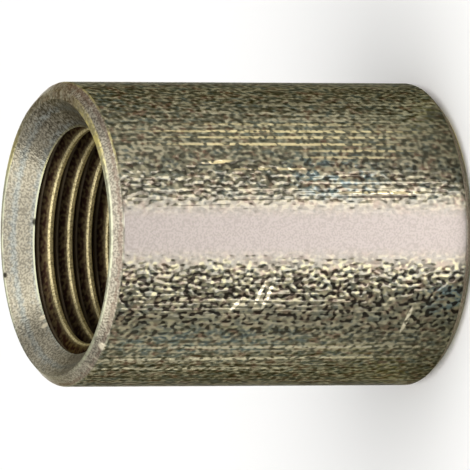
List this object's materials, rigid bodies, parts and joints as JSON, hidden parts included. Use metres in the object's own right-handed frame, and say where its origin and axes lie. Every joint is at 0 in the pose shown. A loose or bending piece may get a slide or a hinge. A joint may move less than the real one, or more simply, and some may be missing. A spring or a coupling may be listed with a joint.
{
  "type": "female pipe socket",
  "caption": "Short round steel sleeve with an internal pipe thread right through and countersunk mouths, for joining two threaded pipe ends in line.",
  "frame": {"origin": "centre of the bore in the plane of the lower end face, on which the socket stands", "axes": "+Z along the bore's axis, upwards from the lower end; both ends are alike, and X and Y are any two square directions across it"},
  "size_m": [0.0264, 0.0264, 0.034],
  "materials": {
    "zinc_coated_steel": "zinc coated, dull and speckled, fine lines along the barrel"
  },
  "bodies": {
    "root": {"pipe_socket": "zinc_coated_steel"}
  },
  "joints": []
}
